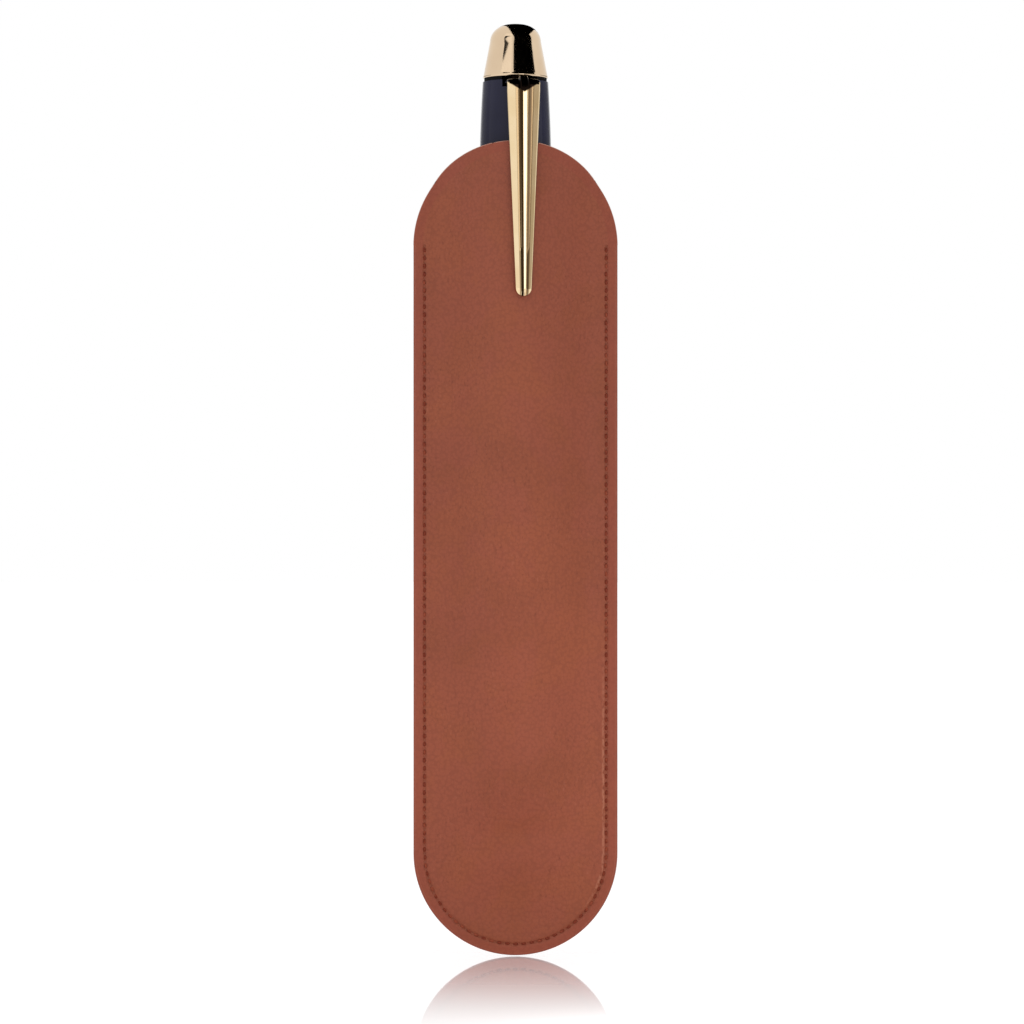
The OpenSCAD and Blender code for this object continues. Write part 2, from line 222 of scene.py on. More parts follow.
def smooth(piece, angle):
    """Shades a finished piece smooth, apart from edges sharper than an angle in degrees, and reports it."""
    begin()
    piece.select_set(True)
    bpy.context.view_layer.objects.active = piece
    bpy.ops.object.shade_smooth_by_angle(angle=math.radians(angle))
    report(piece)


# %% [markdown]
# ## How the halves swell
#
# Each half lies flat on its border and swells round the pen in the middle. The depth follows the pen's own
# shape, pushed right in, with a little room. Away from the pen the leather eases down to the border in a soft
# curve.

# %% Depth of the pocket
def rise(t):
    """Eases from 0 to 1 along a quarter of a sine."""
    return math.sin(math.pi / 2 * max(0, min(1, t)))


def pen_radius(height):
    """Radius of the pen's lower half at a height above its tip."""
    nose_len = nose_top - pen_foot
    if height < nose_len:
        return tip_r + (nose_r - tip_r) * rise(height / nose_len)
    return nose_r + (barrel_r - nose_r) * rise((height - nose_len) / (ring_low.z - nose_top))


def pocket_depth(z):
    """Depth of the pocket's middle line at a height."""
    pushed = pen_foot - push_depth
    if z > pushed:
        return pen_radius(z - pushed) + pen_gap
    return (tip_r + pen_gap) * max(0, z - border_w) / (pushed - border_w)


def swell(x, z):
    """Distance of the lining's inner face from its flat place."""
    depth = pocket_depth(z)
    below = max(0, edge_r - z)
    across = min(1, math.hypot(x, below) / pocket_r)
    soft = depth * (1 + math.cos(math.pi * across)) / 2
    return max(soft, math.sqrt(max(0, depth**2 - x**2 - below**2)))


print(f"the pocket is {swell(0, sleeve_top) / mm:.2f} mm deep at the mouth")

# %% [markdown]
# ## The flat outline
#
# A half is cut as a long shape with two round ends. It is drawn once: half a circle at the foot, two straight
# sides, and half a circle at the mouth. The sides get two points for each stitch, so that every second point
# of the seam can later be pulled down into a needle hole. Then the face is inset again and again, and these
# rings run along the edge and the seam just as the leather is worked.

# %% Stitches along the seam
stitch_pitch = 1.5 * mm
run_len = mouth_z - edge_r
run_stitches = round(run_len / stitch_pitch)
foot_stitches = round(math.pi * seam_r / stitch_pitch)
points_per_stitch = 2
foot_points = foot_stitches * points_per_stitch
mouth_steps = 64
touching = 1e-6
print(f"{run_stitches} stitches on each side and {foot_stitches} round the foot")


# %% Draw the outline and its rings
def from_edge(p):
    """How far a point lies inside the sleeve's edge."""
    return edge_r - math.hypot(p.x, max(0, edge_r - p.z, p.z - mouth_z))


def cut_half():
    """The flat half, in the plane y = 0, as rings of faces from its edge to its middle line."""
    half = circle("flat_half", vertices=2 * foot_points, radius=panel_r, location=(0, 0, edge_r),
                  rotation=upright)
    mode("EDIT")
    pick(lambda p: p.z > edge_r + touching)
    bpy.ops.mesh.delete(type="VERT")
    pick(lambda p: p.z > edge_r - touching)
    extrude(0, 0, run_len)
    pick(lambda p: abs(p.z - (edge_r + mouth_z) / 2) < 1 * mm, "edges")
    bpy.ops.mesh.subdivide(number_cuts=run_stitches - 1)
    pick(lambda p: p.z > edge_r + 0.1 * mm, "edges")
    bpy.ops.mesh.subdivide(number_cuts=points_per_stitch - 1)
    pick(lambda p: p.z > mouth_z - touching and p.x > 0)
    bpy.ops.mesh.spin(steps=mouth_steps, angle=math.pi, center=(0, 0, mouth_z), axis=(0, 1, 0))
    pick()
    bpy.ops.mesh.remove_doubles(threshold=touching)
    pick(kind="edges")
    bpy.ops.mesh.edge_face_add()
    return half


# The rings lie closer together where the seam will be pressed in, and even further in
seam_at = panel_r - seam_r
groove_half = 0.28 * mm
ring_gap = 0.95 * mm
rings_at = [0.25 * mm, 0.7 * mm, 1.2 * mm, seam_at - 0.5 * mm, seam_at - groove_half, seam_at,
            seam_at + groove_half, seam_at + 0.55 * mm, seam_at + ring_gap, border_w - paint_t]
while rings_at[-1] < panel_r - 1.3 * mm:
    rings_at.append(rings_at[-1] + ring_gap)
flat_half = cut_half()
done = 0
for ring in rings_at:
    bpy.ops.mesh.inset(thickness=ring - done, depth=0, use_even_offset=True)
    done = ring
print(f"{len(rings_at)} rings, the last one {done / mm:.2f} mm inside the edge")

# %% [markdown]
# The last ring is a narrow loop. Its face is removed and the loop is pressed flat onto the middle line, where
# its two sides meet and are merged. The faces still look backwards, because the circle was drawn from behind,
# and so they are turned round.

# %% Close the middle line
bpy.ops.mesh.delete(type="ONLY_FACE")
inner = panel_r - rings_at[-1] + 0.02 * mm
pick(lambda p: edge_r - from_edge(p) < inner)
bpy.ops.transform.resize(value=(0, 1, 1), center_override=(0, 0, 0))
close_up(2e-6)
pick_items(lambda edge: edge.is_boundary and from_edge(edge.verts[0].co) > 1 * mm, "edges")
bpy.ops.mesh.remove_doubles(threshold=0.06 * mm)
open_edges = pick_items(lambda edge: edge.is_boundary, "edges")
expected = 2 * run_stitches * points_per_stitch + foot_points + mouth_steps
print(f"{open_edges} open edges, all on the outline: {expected} expected")
pick(kind="faces")
bpy.ops.mesh.flip_normals()
mode("OBJECT")
report(flat_half)

# %% [markdown]
# The pocket's depth is painted on the flat half as vertex weights. A Displace modifier then pushes each
# vertex forwards by its weight, which is how one would sculpt it with a mask.

# %% Push the pocket forwards
deepest = barrel_r + pen_gap
pocket_group = flat_half.vertex_groups.new(name="pocket")
for vertex in flat_half.data.vertices:
    pocket_group.add([vertex.index], swell(vertex.co.x, vertex.co.z) / deepest, "REPLACE")
apply_modifier(flat_half, "DISPLACE", direction="Y", mid_level=0, strength=-deepest, vertex_group="pocket",
               space="LOCAL")
flat_half.data.transform(Matrix.Translation((0, -lining_in, 0)))
report(flat_half)

# %% [markdown]
# ## Leather and lining
#
# A layer is a copy of the shaped half, moved out to its own level and given its thickness by Solidify. The
# leather's outer edge is then rounded by a bevel, and its seam is pressed in.

# %% Make one layer
def layer(name, level, thickness):
    """A layer of the front half, from its level outwards."""
    piece = copy_of(flat_half, name)
    piece.vertex_groups.clear()
    if level > lining_in:
        apply_modifier(piece, "DISPLACE", direction="NORMAL", mid_level=0, strength=level - lining_in)
    apply_modifier(piece, "SOLIDIFY", thickness=thickness, offset=1, use_even_offset=True)
    return piece


front_panel = layer("front_leather", leather_in, leather_t)
report(front_panel)

# %% [markdown]
# Stitches pull the leather down into a shallow groove, and deepest at the needle holes. The seam ends at the
# mouth's corners, so the groove does too.

# %% Press in the seam
def hole_here(p):
    """Whether a point of the seam is a needle hole."""
    if p.z > edge_r - 1e-5:
        along = (p.z - edge_r) / run_len * run_stitches
    else:
        along = math.atan2(edge_r - p.z, p.x) / math.pi * foot_stitches
    return abs(along - round(along)) < 0.05


def on_seam(p, away):
    """Whether a point of the outer face lies at a distance from the seam, on either side of it."""
    return (-p.y > leather_in + leather_t / 2 and p.z < mouth_z + 0.1 * mm
            and abs(abs(from_edge(p) - seam_in) - away) < 0.03 * mm)


mode("EDIT")
for away, depth in ((0.0, 0.12 * mm), (groove_half, 0.07 * mm)):
    pick(lambda p: on_seam(p, away))
    bpy.ops.transform.translate(value=(0, depth, 0))
hole_depth = 0.14 * mm
holes = pick(lambda p: on_seam(p, 0.0) and hole_here(p))
bpy.ops.transform.translate(value=(0, hole_depth, 0))
print(f"{holes} needle holes")

# %% Round the leather's outer edge
half_points = len(flat_half.data.vertices)


def on_rim(face):
    """Whether a face is on the cut edge: there Solidify joins the half's own points to the new ones."""
    return len({v.index < half_points for v in face.verts}) == 2


def outer_rim(edge):
    """Whether an edge runs between the grain side and the cut edge."""
    return all(v.index >= half_points for v in edge.verts) and any(map(on_rim, edge.link_faces))


rim_edges = pick_items(outer_rim, "edges")
bpy.ops.mesh.bevel(offset=0.22 * mm, segments=3, affect="EDGES")
mode("OBJECT")
print(f"{rim_edges} edges rounded")
smooth(front_panel, 50)

# %% Make the lining
front_lining = layer("front_lining_suede", lining_in, lining_t)
smooth(front_lining, 50)

# %% [markdown]
# ## Edge paint
#
# Cut edges of fine leather goods are painted and burnished until the layers look like one. Round the foot and
# up the sides, one bead of paint covers all four layers. At the mouth each half has its own bead. Both are a
# band of the layers' own outline, made thicker outwards and rounded.

# %% The bead over the sewn edge
# Its section in millimetres: across and forwards, for a sleeve with an edge radius of 19 mm
bead = [(18.52, 1.44), (18.7, 1.41), (18.86, 1.31), (18.95, 1.12), (18.985, 0.8), (19.0, 0.4), (19.0, 0.0)]
bead = [(r * mm * edge_r / (19 * mm), y * mm) for r, y in bead]
bead_loop = bead + [(r, -y) for r, y in reversed(bead[:-1])]
bead_cuts = 24


def sweep_bead():
    """Carries the bead's section down one side, round the foot and up the other side."""
    piece = circle("edge_bead", vertices=len(bead_loop) + 2, radius=1 * mm, location=(edge_r, 0, mouth_z))
    inner_r = bead_loop[0][0] - 0.02 * mm
    section = bead_loop + [(inner_r, -1.2 * mm), (inner_r, 1.2 * mm)]
    centre = Vector((sum(r for r, y in section), sum(y for r, y in section), 0)) / len(section)
    ordered = sorted(range(len(section)),
                     key=lambda i: math.atan2(section[i][1] - centre.y, section[i][0] - centre.x))
    around = sorted(piece.data.vertices, key=lambda v: math.atan2(v.co.y, v.co.x - edge_r))
    for vertex, i in zip(around, ordered):
        vertex.co = (section[i][0], section[i][1], mouth_z)
    mode("EDIT")
    pick()
    bpy.ops.mesh.edge_face_add()
    for cut in range(bead_cuts):
        extrude(0, 0, -run_len / bead_cuts)
    bpy.ops.mesh.spin(steps=72, angle=math.pi, center=(0, 0, edge_r), axis=(0, -1, 0))
    for cut in range(bead_cuts):
        extrude(0, 0, run_len / bead_cuts)
    close_up(touching)
    mode("OBJECT")
    return piece


seam_bead = sweep_bead()
smooth(seam_bead, 60)


# %% The bead over the mouth's free edge
def mouth_bead(name):
    """Takes the rim of a half's full thickness at the mouth and makes it thicker outwards."""
    whole = layer(name, lining_in, leather_out - lining_in)
    mode("EDIT")
    pick_items(lambda face: not (on_rim(face) and face.calc_center_median().z > mouth_z), "faces")
    bpy.ops.mesh.delete(type="FACE")
    pick(kind="faces")
    bpy.ops.mesh.extrude_region_shrink_fatten(TRANSFORM_OT_shrink_fatten={"value": paint_t})
    close_up()
    pick_items(lambda edge: all(from_edge(v.co) < 0.03 * mm for v in edge.verts)
               and edge.calc_face_angle(0) > math.radians(50), "edges")
    bpy.ops.mesh.bevel(offset=0.13 * mm, segments=3, affect="EDGES")
    mode("OBJECT")
    smooth(whole, 60)
    return whole


front_bead = mouth_bead("front_mouth_bead")

# %% [markdown]
# ## Thread
#
# The seam is a machine's lock stitch in a tonal thread. Each stitch comes up out of its needle hole, lies on
# the leather and goes down into the next hole. One stitch is modelled as a round thread that arches over, and
# laid along the sides and round the foot. It has few faces, because it comes back nearly two hundred times.

# %% Model one stitch
stitch_len = run_len / run_stitches
thread_r = 0.225 * mm
# Its way from hole to hole: the share of the stitch's length, and the height over the leather in millimetres
stitch_path = [(0.2, -0.42), (0.22, -0.2), (0.29, -0.03), (0.4, 0.04),
               (0.6, 0.04), (0.71, -0.03), (0.78, -0.2), (0.8, -0.42)]


def model_stitch():
    """One stitch along X that arches up along Z, from hole to hole."""
    stitch = circle("stitch", vertices=8, radius=thread_r, fill_type="NGON",
                    rotation=(0, math.radians(90), 0))
    path = [(along * stitch_len, up * mm) for along, up in stitch_path]
    mode("EDIT")
    pick()
    bpy.ops.transform.translate(value=(path[0][0], 0, path[0][1]))
    for (x0, z0), (x1, z1) in zip(path, path[1:]):
        extrude(x1 - x0, 0, z1 - z0)
    close_up()
    mode("OBJECT")
    return stitch


one_stitch = model_stitch()
report(one_stitch)


# %% Lay the stitches
def stitch_places():
    """Where each stitch starts, the direction in which it runs, and its length."""
    found = []
    quarter = math.radians(90)
    for side in (-1, 1):
        for i in range(run_stitches):
            found.append((Vector((side * seam_r, 0, edge_r + i * stitch_len)), quarter, stitch_len))
    step = math.pi / foot_stitches
    for i in range(foot_stitches):
        a = math.pi + i * step
        start = Vector((seam_r * math.cos(a), 0, edge_r + seam_r * math.sin(a)))
        found.append((start, a + math.pi / 2 + step / 2, 2 * seam_r * math.sin(step / 2)))
    return found


def sew(name):
    """Copies the stitch to every place of the front face, each a little askew, and joins the copies."""
    rows = []
    slant = math.radians(3)
    sway = 0.05 * mm
    stand = Matrix.Rotation(math.radians(90), 4, "X")
    for number, (start, heading, length) in enumerate(stitch_places()):
        piece = copy_of(one_stitch, name)
        turn = Matrix.Rotation(-heading - slant * (1 + 0.6 * math.sin(1.9 * number)), 4, "Y")
        size = Matrix.Diagonal((length / stitch_len, 1, 1, 1))
        lift = Matrix.Translation((0, -(leather_out - sway + sway * math.sin(2.3 * number)), 0))
        piece.data.transform(lift @ Matrix.Translation(start) @ turn @ stand @ size)
        rows.append(piece)
    begin()
    for piece in rows:
        piece.select_set(True)
    bpy.context.view_layer.objects.active = rows[0]
    bpy.ops.object.join()
    smooth(rows[0], 80)
    return rows[0]


front_thread = sew("front_stitches")
bpy.data.objects.remove(one_stitch)

# %% [markdown]
# ## The back half
#
# The back is cut and sewn as the front is, so its pieces are mirror images. A mirrored shape is inside out,
# and its normals are turned round again.

# %% Mirror the front pieces to the back
def to_back(piece, name):
    """The mirror image of a front piece."""
    twin = copy_of(piece, name)
    mode("EDIT")
    pick(kind="faces")
    bpy.ops.transform.resize(value=(1, -1, 1), center_override=(0, 0, 0))
    bpy.ops.mesh.normals_make_consistent(inside=False)
    mode("OBJECT")
    report(twin)
    return twin


back_panel = to_back(front_panel, "back_leather")
back_lining = to_back(front_lining, "back_lining_suede")
back_bead = to_back(front_bead, "back_mouth_bead")
back_thread = to_back(front_thread, "back_stitches")
bpy.data.objects.remove(flat_half)

# %% [markdown]
# ## Turned parts of the pen
#
# The pen's outside is turned on a lathe. Each part starts as a circle at its lower end. The circle is
# extruded up from level to level and scaled to the radius there, which gives the same shape as a lathe and
# keeps the rings even.

# %% Turn a part
def turned(name, profile):
    """A closed turned part from a list of radius and height, up its outside and down its inside."""
    axis_r = 1e-5
    radius, height = max(profile[0][0], axis_r), profile[0][1]
    piece = circle(name, vertices=96, radius=radius, location=(0, 0, height))
    mode("EDIT")
    pick()
    for r, z in profile[1:] + profile[:1]:
        r = max(r, axis_r)
        extrude(0, 0, z - height)
        bpy.ops.transform.resize(value=(r / radius, r / radius, 1), center_override=(0, 0, z))
        radius, height = r, z
    close_up(3e-6)
    mode("OBJECT")
    smooth(piece, 35)
    return piece


# %% [markdown]
# The crown is a short cone with a rounded top. A narrow bead along its lower edge catches the light, and the
# barrel's neck below is a little smaller, which leaves a fine dark gap there. The lacquer's finish also paints
# the neck near-black, as painted shade.

# %% Turn the crown
crown_z = crown_low.z
crown_top = crown_high.z
round_h = 3.2 * mm
round_r = 4.75 * mm
flat_r = 1 * mm
cone_r = 5.93 * mm
stud_bore = 2.5 * mm
# The lip and its bead, with heights over the crown's lower edge
crown_profile = [(5.2 * mm, crown_z + 0.1 * mm), (5.75 * mm, crown_z), (cone_r, crown_z + 0.04 * mm),
                 (6.02 * mm, crown_z + 0.14 * mm), (crown_r, crown_z + 0.3 * mm),
                 (6.02 * mm, crown_z + 0.46 * mm), (5.94 * mm, crown_z + 0.62 * mm),
                 (cone_r, crown_z + 0.7 * mm)]
cone_low, cone_high = crown_z + 0.7 * mm, crown_top - round_h
for i in range(1, 9):
    t = i / 8
    crown_profile.append((cone_r + (round_r - cone_r) * t, cone_low + (cone_high - cone_low) * t))
for i in range(1, 13):
    a = math.radians(90 * i / 12)
    crown_profile.append((flat_r + (round_r - flat_r) * math.cos(a), cone_high + round_h * math.sin(a)))
crown_profile += [(0, crown_top), (0, crown_top - 1 * mm), (stud_bore, crown_top - 1.2 * mm),
                  (stud_bore, crown_z + 0.1 * mm)]
crown = turned("crown_cap", crown_profile)

# %% [markdown]
# The upper barrel is a lacquered tube whose shoulder draws in under the crown. Its neck is cut a little
# deeper just below the crown, and a notch at the front lets the clip's tang in.

# %% Turn the upper barrel
shoulder = 20 * mm
barrel_top = barrel_high.z
cam_bore = 5.9 * mm
neck_bore = 5.25 * mm


def shoulder_r(down):
    """Radius of the upper barrel at a distance under the crown."""
    return barrel_r - (barrel_r - crown_r) * max(0, 1 - down / shoulder) ** 2


# From the lower end up to the shoulder, then the neck under the crown, then down along the bore
neck_low = barrel_top - 0.6 * mm
rounding = 0.1 * mm
upper_profile = [(cam_bore, barrel_low.z), (barrel_r - rounding, barrel_low.z),
                 (barrel_r, barrel_low.z + rounding)]
for down in [shoulder * (1 - i / 20) for i in range(1, 19)] + [0.85 * mm, 0.68 * mm]:
    upper_profile.append((shoulder_r(down), barrel_top - down))
upper_profile += [(5.86 * mm, neck_low), (5.82 * mm, neck_low + 0.1 * mm), (5.82 * mm, barrel_top),
                  (neck_bore, barrel_top), (neck_bore, barrel_top - 20.5 * mm),
                  (cam_bore, barrel_top - 21 * mm)]
upper_barrel = turned("upper_lacquered_barrel", upper_profile)

# %% Cut the notch for the clip's tang
begin()
notch_place = (0, -5.5 * mm, barrel_top - 0.6 * mm)
notch_size = (6.6 * mm, 5 * mm, 2.8 * mm)
bpy.ops.mesh.primitive_cube_add(size=1, location=notch_place, scale=notch_size)
cutter = bpy.context.object
place_in_mesh(cutter)
cutter.data.transform(Matrix.Rotation(pen_turn, 4, "Z"))
apply_modifier(upper_barrel, "BOOLEAN", operation="DIFFERENCE", solver="EXACT", object=cutter)
bpy.data.objects.remove(cutter)
smooth(upper_barrel, 35)

# %% [markdown]
# The centre ring, the lower barrel and the nose cone are inside the sleeve at rest and show when the pen is
# drawn out. They are turned in the same way, from the same curves as the pocket.

# %% Turn the centre ring
ring_r = (ring_high.x - ring_low.x) / 2
ring_round = 0.12 * mm
ring_middle, ring_half = (ring_low.z + ring_high.z) / 2, (ring_high.z - ring_low.z) / 2
flange_r = barrel_r - 1.35 * mm
ring_profile = [(flange_r, ring_low.z), (ring_r - ring_round, ring_low.z)]
for i in range(9):
    a = math.radians(-90 + 180 * i / 8)
    ring_profile.append((ring_r - ring_round + ring_round * math.cos(a),
                         ring_middle + ring_half * math.sin(a) * 0.98))
ring_profile += [(flange_r, ring_high.z)]
centre_ring = turned("centre_ring_band", ring_profile)


# %% Turn the lower barrel
def along_pen(low, high, steps):
    """Points of the pen's outside from one height up to another."""
    heights = [low + (high - low) * i / steps for i in range(1, steps + 1)]
    return [(pen_radius(z - pen_foot), z) for z in heights]


spigot_bore = 3.95 * mm
spigot_top = nose_top + 7.5 * mm
collar_bore = 4.05 * mm
collar_low = ring_high.z - 12 * mm
lower_profile = [(spigot_bore, nose_top), (nose_r - 0.06 * mm, nose_top), (nose_r, nose_top + 0.08 * mm),
                 *along_pen(nose_top, ring_low.z, 24),
                 (flange_r, ring_low.z), (flange_r, collar_low), (collar_bore, collar_low),
                 (collar_bore, spigot_top), (spigot_bore, spigot_top)]
lower_barrel = turned("lower_lacquered_barrel", lower_profile)

# %% Turn the nose cone
spigot_r = 3.9 * mm
spring_bore = 3.1 * mm
stem_bore = 2.75 * mm
point_bore = 1.2 * mm
nose_profile = [(point_bore, pen_foot + 0.08 * mm), (1.28 * mm, pen_foot), (tip_r - 0.12 * mm, pen_foot),
                *along_pen(pen_foot, nose_top, 20),
                (spigot_r, nose_top), (spigot_r, nose_top + 7 * mm), (spring_bore, nose_top + 7 * mm),
                (spring_bore, nose_top - 3 * mm), (stem_bore, nose_top - 3 * mm),
                (stem_bore, pen_foot + 9 * mm), (point_bore, pen_foot + 9 * mm)]
nose = turned("nose_cone_tip", nose_profile)

# %% [markdown]
# ## The clip
#
# The clip is one strip of sheet metal, pressed to a shallow roof with a round rib along its middle. It comes
# out of the barrel, bends down and narrows to a rounded tip. Its section is drawn once and extruded along
# this way, turned round the bend and scaled along the taper.

# %% Draw the clip's section
clip_root_w = 6.1 * mm
clip_tip_w = 3 * mm
clip_t = 1.2 * mm
blade_out = 10.425 * mm
bend_r = 1.5 * mm
tang_top = crown_z - 0.6 * mm
tang_in = 3.4 * mm
tip_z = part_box("clip")[0].z
tang_t = 1 * mm
# Across as a share of half the width, and the front face's height in millimetres over the sheet's own face
section_side = [(1, -0.62), (0.965, -0.5), (0.88, -0.42), (0.6, -0.31), (0.37, -0.2), (0.31, -0.27),
                (0.26, -0.1), (0.25, 0.1), (0.235, 0.22), (0.205, 0.272), (0.15, 0.29), (0.08, 0.298)]
section_front = [(-x, z) for x, z in section_side] + [(0, 0.3)] + section_side[::-1]


def draw_section():
    """The section at the tang's inner end: across along X, and the front face up along Z."""
    half_w = clip_root_w / 2
    front = [(x * half_w, tang_top + z * mm) for x, z in section_front]
    back = [(x * half_w, tang_top - tang_t) for x in (1, 0.5, 0, -0.5, -1)]
    outline = front + back
    piece = circle("spring_clip", vertices=len(outline), radius=1 * mm, rotation=upright)
    ring = sorted(piece.data.vertices, key=lambda v: -math.atan2(v.co.z, v.co.x))
    for vertex, (x, z) in zip(ring, outline):
        vertex.co = (x, -tang_in, z)
    return piece


clip = draw_section()
print(f"{len(clip.data.vertices)} points in the clip's section")

# %% [markdown]
# The rib starts on the bend. Going round the bend takes eight short turns. With no window, an operator's
# rotation goes the other way round, so the angle has a minus sign where one would not expect it.

# %% Carry the section along the clip
mode("EDIT")
pick()
bpy.ops.mesh.edge_face_add()
extrude(0, -(blade_out - bend_r - tang_in), 0)
bend_centre = Vector((0, -(blade_out - bend_r), tang_top - bend_r))
bend_turns = 8
for turn in range(bend_turns):
    extrude(0, 0, 0)
    bpy.ops.transform.rotate(value=-math.radians(90 / bend_turns), orient_axis="X",
                             center_override=bend_centre)
mesh = bmesh.from_edit_mesh(clip.data)
ended = [v.co.copy() for v in mesh.verts if v.select]
print(f"the bend ends {-min(p.y for p in ended) / mm:.2f} mm in front of the pen's axis")

# %% [markdown]
# The blade is a little thicker than the tang. It gets narrower in even steps, and its last 1.5 mm follow half
# a circle. A small pad is pressed out behind the tip, and this is what grips the leather.

# %% Taper the blade and round its tip
def carry(down, width, thickness, front_y):
    """Extrudes the section down and scales it across and through."""
    extrude(0, 0, -down)
    bpy.ops.transform.resize(value=(width, thickness, 1), center_override=(0, front_y, 0))


blade_in = blade_out - clip_t
blade_top = tang_top - bend_r
thicken_len = 0.6 * mm
half_way = (clip_t + tang_t) / 2
carry(thicken_len, 1, half_way / tang_t, -blade_out)
carry(thicken_len, 1, clip_t / half_way, -blade_out)
taper_top = blade_top - 1.2 * mm
straight_end = tip_z + clip_tip_w / 2
width = clip_root_w
rows = 24
for row in range(rows):
    new_width = clip_root_w + (clip_tip_w - clip_root_w) * (row + 1) / rows
    carry((taper_top - straight_end) / rows, new_width / width, 1, -blade_in)
    width = new_width
# Round the tip, at distances in millimetres below the blade's straight end
level, depth = straight_end, 1.0
for down in (0.4, 0.75, 1.02, 1.22, 1.36, 1.45, 1.5):
    half = clip_tip_w / 2 * math.sqrt(max(0.002, 1 - (down / 1.5) ** 2))
    new_depth = 1 - 0.45 * max(0, down - 0.5)
    carry(level - (straight_end - down * mm), 2 * half / width, new_depth / depth, -blade_in)
    level, width, depth = straight_end - down * mm, 2 * half, new_depth

# %% Press out the pad
for near, out in ((1.1, 0.12), (0.75, 0.1), (0.45, 0.08)):
    pick(lambda p: p.y > -blade_in - 0.02 * mm and abs(p.z - straight_end - 0.1 * mm) < near * mm)
    bpy.ops.transform.translate(value=(0, out * mm, 0))
close_up(touching)
mode("OBJECT")
clip.data.transform(Matrix.Rotation(pen_turn, 4, "Z"))
smooth(clip, 55)

# %% [markdown]
# ## Which body each piece rides on
#
# The sleeve's pieces ride on the sleeve. The crown and the upper barrel are the pen's upper body, the clip
# springs on its own, and the ring, lower barrel and nose turn together.

# %% Hand the pieces to their bodies
riding = [
    (front_panel, "sleeve", "leather", ["front_panel"]),
    (back_panel, "sleeve", "leather", ["back_panel"]),
    (front_lining, "sleeve", "lining", ["front_lining"]),
    (back_lining, "sleeve", "lining", ["back_lining"]),
    (seam_bead, "sleeve", "edge_paint", ["seam_edge"]),
    (front_bead, "sleeve", "edge_paint", ["front_lip_edge"]),
    (back_bead, "sleeve", "edge_paint", ["back_lip_edge"]),
    (front_thread, "sleeve", "thread", ["needle_thread"]),
    (back_thread, "sleeve", "thread", ["bobbin_thread"]),
    (crown, "pen_top", "gold_plate", ["crown"]),
    (upper_barrel, "pen_top", "lacquer", ["upper_barrel"]),
    (clip, "pen_clip", "gold_plate", ["clip"]),
    (centre_ring, "pen_lower", "gold_plate", ["centre_ring"]),
    (lower_barrel, "pen_lower", "lacquer", ["lower_barrel"]),
    (nose, "pen_lower", "gold_plate", ["nose_cone"]),
]
for piece, body, slot, nodes in riding:
    piece.vertex_groups.clear()
    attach(piece, body)
    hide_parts(*nodes)

# %% [markdown]
# ## Finishes
#
# A finish is a Principled shader whose colour, roughness and bump change over the surface. To keep the sums
# easy to read, a number on the surface is wrapped in a small class, and plus, minus and times then add the
# Math nodes.

# %% Numbers on a surface
class Amount:
    """A number that changes over a surface."""

    def __init__(self, finish, socket):
        self.finish = finish
        self.socket = socket

    def work(self, operation, first, second=0.0):
        return self.finish.number("ShaderNodeMath", {"operation": operation}, {0: first, 1: second})

    def __add__(self, other):
        return self.work("ADD", self, other)

    def __sub__(self, other):
        return self.work("SUBTRACT", self, other)

    def __rsub__(self, other):
        return self.work("SUBTRACT", other, self)

    def __mul__(self, other):
        return self.work("MULTIPLY", self, other)

    def __truediv__(self, other):
        return self.work("DIVIDE", self, other)

    __radd__ = __add__
    __rmul__ = __mul__

    def size(self):
        return self.work("ABSOLUTE", self)

    def least(self, other):
        return self.work("MINIMUM", self, other)

    def most(self, other):
        return self.work("MAXIMUM", self, other)

    def power(self, other):
        return self.work("POWER", self, other)

    def fade(self, start, end, low=0.0, high=1.0):
        """Eases from low, where the number is start, to high, where it is end."""
        return self.finish.number("ShaderNodeMapRange", {"interpolation_type": "SMOOTHSTEP"},
                                  {0: self, 1: start, 2: end, 3: low, 4: high})


